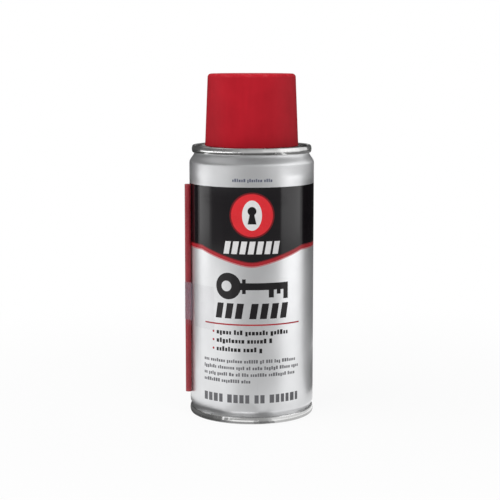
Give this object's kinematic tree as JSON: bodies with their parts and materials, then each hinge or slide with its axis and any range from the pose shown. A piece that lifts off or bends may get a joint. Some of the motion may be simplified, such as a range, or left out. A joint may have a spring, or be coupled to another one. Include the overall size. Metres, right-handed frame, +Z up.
{
  "type": "aerosol can of lock lubricant",
  "caption": "Small necked-in aerosol can with a lift-off cap, a press-down spray button on a sprung valve, a dip tube, and an extension straw taped to its side.",
  "frame": {"origin": "on the can's axis, in the plane of the ring that the can stands on", "axes": "+Z up along the can's axis; -Y is the front of the print and the way the nozzle points; -X is the side that carries the straw"},
  "size_m": [0.047, 0.0454, 0.124],
  "materials": {
    "printed_tinplate": "glossy lacquer over print",
    "bare_tinplate": "bright",
    "sealing_compound": "matte",
    "gasket_rubber": "matte",
    "valve_plastic": "matte",
    "spring_steel": "bright",
    "ball_steel": "polished",
    "tube_plastic": "satin, milky",
    "button_plastic": "satin",
    "insert_plastic": "satin",
    "cap_plastic": "satin",
    "straw_plastic": "glossy",
    "clear_tape": "clear, glossy"
  },
  "bodies": {
    "can": {"can_body": "printed_tinplate", "top_dome": "bare_tinplate", "bottom_end": "bare_tinplate", "top_seam_compound": "sealing_compound", "bottom_seam_compound": "sealing_compound", "mounting_cup": "bare_tinplate", "cup_gasket": "gasket_rubber", "stem_gasket": "gasket_rubber", "valve_housing": "valve_plastic", "valve_spring": "spring_steel", "dip_tube": "tube_plastic", "straw_tape": "clear_tape"},
    "stem": {"valve_stem": "valve_plastic"},
    "button": {"spray_button": "button_plastic", "nozzle_insert": "insert_plastic"},
    "cap": {"cap": "cap_plastic"},
    "straw": {"straw": "straw_plastic"},
    "ball": {"mixing_ball": "ball_steel"}
  },
  "joints": [
    {"name": "cap_lift", "type": "slide", "parent": "can", "child": "cap", "axis": [0, 0, 1], "range_m": [0, 0.045]},
    {"name": "stem_press", "type": "slide", "parent": "can", "child": "stem", "axis": [0, 0, -1], "range_m": [0, 0.0012], "stiffness_N_per_m": 3000, "springref_m": -0.002, "deforming": ["valve_spring"]},
    {"name": "button_turn", "type": "hinge", "parent": "stem", "child": "button", "pos_m": [0, 0, 0.109], "axis": [0, 0, 1], "continuous": true},
    {"name": "straw_slide", "type": "slide", "parent": "can", "child": "straw", "axis": [0, 0, 1], "range_m": [0, 0.045]},
    {"name": "ball_roll", "type": "hinge", "parent": "can", "child": "ball", "pos_m": [0, 0, 0], "axis": [0, 0, 1], "continuous": true}
  ]
}
